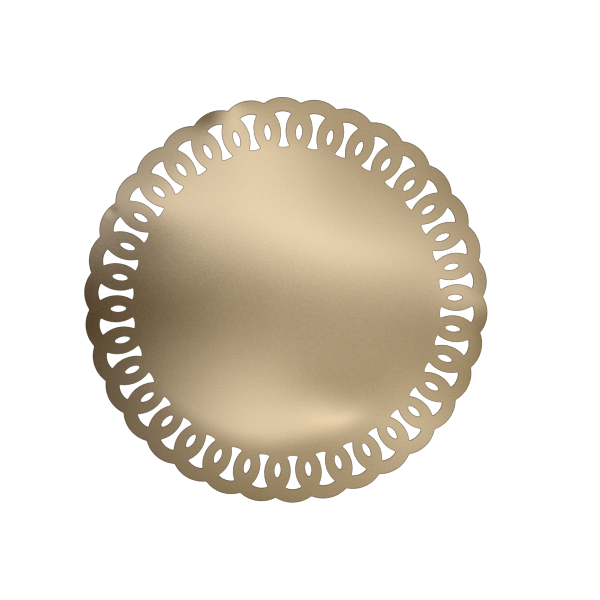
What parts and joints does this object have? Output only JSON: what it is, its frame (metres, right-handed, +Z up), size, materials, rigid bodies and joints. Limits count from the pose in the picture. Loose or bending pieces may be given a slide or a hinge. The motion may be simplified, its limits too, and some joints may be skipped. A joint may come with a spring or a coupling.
{
  "type": "cake stand",
  "caption": "Footed cake stand: thin round plate with a scalloped rim of interlocking cut rings, on a flared and knopped pedestal that a long bolt and wing nut clamp to a wide foot.",
  "frame": {"origin": "on the table, on the stand's axis, under the centre of the plate", "axes": "+Z up along the pedestal, square to the plate; +X towards the middle of one ring of the rim"},
  "size_m": [0.3, 0.2988, 0.11],
  "materials": {
    "satin_gold_plate": "steel sheet with a satin champagne-gold plated finish and a fine even grain",
    "satin_gold_spun": "spun steel with the same satin champagne-gold finish, fine turning lines round the axis",
    "turned_gold": "turned brass, satin, with fine tool lines",
    "pressed_steel": "plain pressed and drawn steel, dull",
    "zinc_steel": "bright zinc-plated steel hardware",
    "pad_rubber": "matt non-slip rubber"
  },
  "bodies": {
    "root": {"top_plate": "satin_gold_plate", "upper_flare": "satin_gold_spun", "foot_shell": "satin_gold_spun", "upper_collar": "turned_gold", "stem_knop": "turned_gold", "lower_collar": "turned_gold", "bearer_dish": "pressed_steel", "spacer_tube": "pressed_steel", "tie_bolt": "zinc_steel", "clamp_washer": "zinc_steel", "spring_washer": "zinc_steel", "wing_nut": "zinc_steel", "foot_pads": "pad_rubber"}
  },
  "joints": []
}
